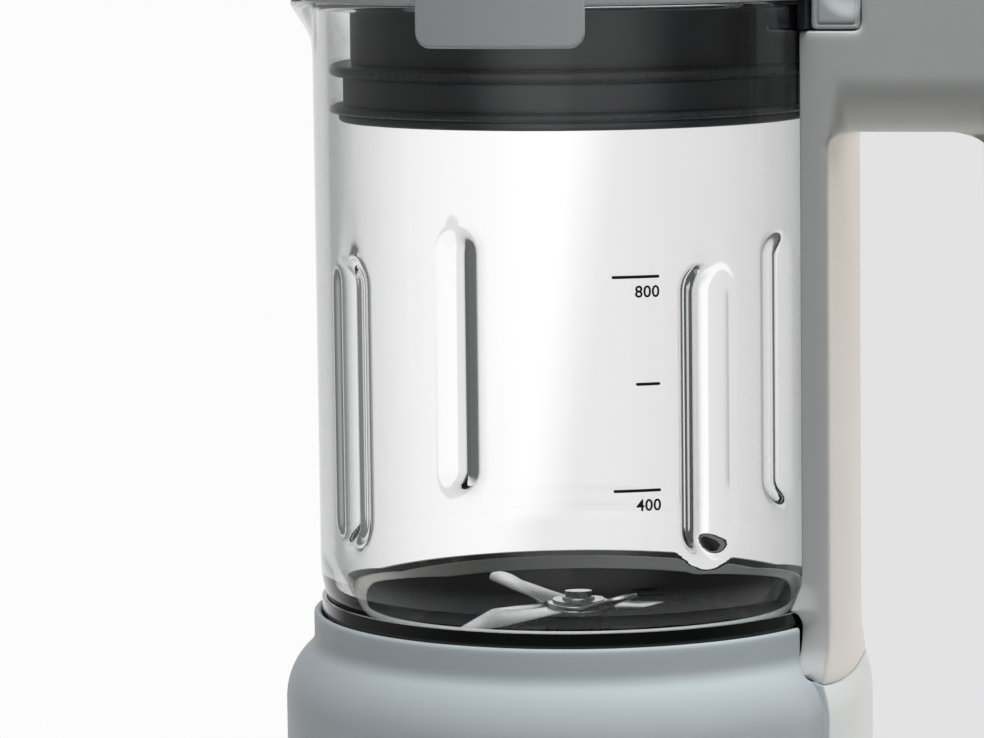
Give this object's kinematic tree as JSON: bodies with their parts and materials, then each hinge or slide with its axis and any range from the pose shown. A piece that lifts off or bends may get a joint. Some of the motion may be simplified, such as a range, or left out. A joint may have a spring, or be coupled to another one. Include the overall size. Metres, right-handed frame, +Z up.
{
  "type": "baby food maker",
  "caption": "Heated glass blending jug with measuring marks, ribs, spout and handle, lifting off a round motor base with front controls; press-in lid with feed cap.",
  "frame": {"origin": "on the jug's axis, on the surface that the foot ring stands on", "axes": "+Z up, +X towards the handle, -X towards the spout, -Y towards the controls"},
  "size_m": [0.1774, 0.1442, 0.2648],
  "materials": {
    "housing": "satin",
    "dark_plastic": "satin",
    "panel": "gloss",
    "lens": "gloss",
    "rubber": "matt",
    "steel": "satin",
    "board": "satin",
    "switch": "satin",
    "black_plastic": "gloss",
    "brass": "satin",
    "aluminium": "cast",
    "laminated_steel": "matt",
    "copper": "satin",
    "carbon": "matt",
    "nylon": "satin",
    "glass": "clear",
    "enamel": "gloss",
    "silicone": "satin",
    "ceramic": "matt",
    "polished_steel": "polished",
    "handle_grey": "satin",
    "lid_grey": "satin",
    "plug_grey": "satin",
    "button_white": "satin"
  },
  "bodies": {
    "base": {"base_housing": "housing", "bottom_cover": "dark_plastic", "foot_ring": "rubber", "bottom_screws": "steel", "control_panel": "panel", "indicator_lens": "lens", "control_board": "board", "selector_switch": "switch", "start_switch": "switch", "power_board": "board", "base_socket": "black_plastic", "socket_contacts": "brass", "cord_gland": "rubber", "motor_frame_top": "aluminium", "motor_frame_bottom": "aluminium", "motor_stator": "laminated_steel", "field_coils": "copper", "motor_bolts": "steel", "brush_holders": "brass", "carbon_brushes": "carbon", "upper_bearing": "brass", "lower_bearing": "brass", "motor_mounts": "rubber", "mount_screws": "steel"},
    "drive": {"motor_shaft": "steel", "motor_rotor": "laminated_steel", "commutator": "copper", "cooling_fan": "nylon", "drive_coupling": "black_plastic"},
    "jug": {"glass_jug": "glass", "heater_plate": "enamel", "plate_gasket": "silicone", "heating_element": "steel", "thermostat": "ceramic", "jug_base": "black_plastic", "jug_base_cover": "dark_plastic", "jug_base_screws": "steel", "jug_plug": "black_plastic", "plug_pins": "brass", "bearing_housing": "steel", "bearing_bushes": "brass", "shaft_seal": "silicone", "handle_body": "handle_grey", "handle_cover": "handle_grey", "handle_screws": "steel", "reed_switch": "nylon"},
    "blades": {"blade_shaft": "steel", "lower_blade": "polished_steel", "upper_blade": "polished_steel", "blade_washer": "polished_steel", "blade_nut": "polished_steel", "driven_coupling": "black_plastic"},
    "lid": {"lid_cover": "lid_grey", "lid_plug": "plug_grey", "lid_seals": "silicone", "lid_magnet": "steel"},
    "feed_cap": {"feed_cap": "lid_grey", "cap_seal": "silicone"},
    "knob": {"knob": "housing"},
    "start_button": {"start_button": "button_white"}
  },
  "joints": [
    {"name": "motor_spin", "type": "hinge", "parent": "base", "child": "drive", "pos_m": [0, 0, 0.037], "axis": [0, 0, 1], "continuous": true},
    {"name": "jug_lift", "type": "slide", "parent": "base", "child": "jug", "axis": [0, 0, 1], "range_m": [0, 0.06]},
    {"name": "blade_spin", "type": "hinge", "parent": "jug", "child": "blades", "pos_m": [0, 0, 0.1], "axis": [0, 0, 1], "continuous": true},
    {"name": "lid_lift", "type": "slide", "parent": "jug", "child": "lid", "axis": [0, 0, 1], "range_m": [0, 0.05]},
    {"name": "cap_lift", "type": "slide", "parent": "lid", "child": "feed_cap", "axis": [0, 0, 1], "range_m": [0, 0.045]},
    {"name": "knob_turn", "type": "hinge", "parent": "base", "child": "knob", "pos_m": [0, -0.0648, 0.03], "axis": [0, -1, 0], "range_deg": [-90, 90]},
    {"name": "button_press", "type": "slide", "parent": "base", "child": "start_button", "axis": [0, 1, 0], "range_m": [0, 0.0015], "stiffness_N_per_m": 800, "springref_m": -0.0015}
  ],
  "couplings": [
    {"joint": "blade_spin", "follows": "motor_spin", "ratio": 1}
  ]
}
